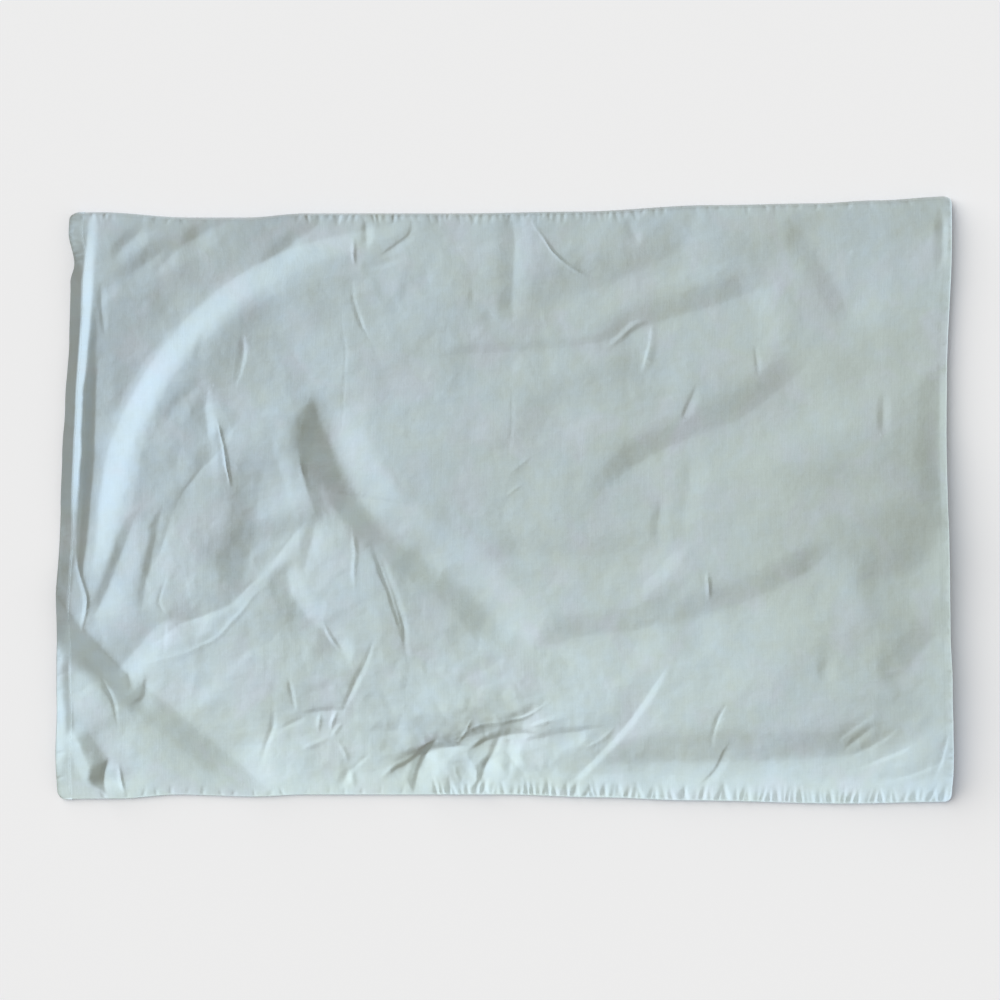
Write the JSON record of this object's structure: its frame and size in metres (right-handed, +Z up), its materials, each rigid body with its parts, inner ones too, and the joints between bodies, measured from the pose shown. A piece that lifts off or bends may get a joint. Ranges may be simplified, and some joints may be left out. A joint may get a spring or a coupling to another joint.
{
  "type": "pillow sham",
  "caption": "Plain pale blue-green cotton pillow sham, empty and lying flat with soft folds, seamed on three sides and open at its hemmed end.",
  "frame": {"origin": "on the surface that the sham lies on, under the middle of its outline", "axes": "+X along the sham away from its open hemmed end, +Y across it, +Z up from the surface"},
  "size_m": [0.7572, 0.5138, 0.0209],
  "materials": {
    "front_cotton": "matte plain weave, softly creased",
    "back_cotton": "matte plain weave"
  },
  "bodies": {
    "root": {"front_panel": "front_cotton", "back_panel": "back_cotton"}
  },
  "joints": []
}
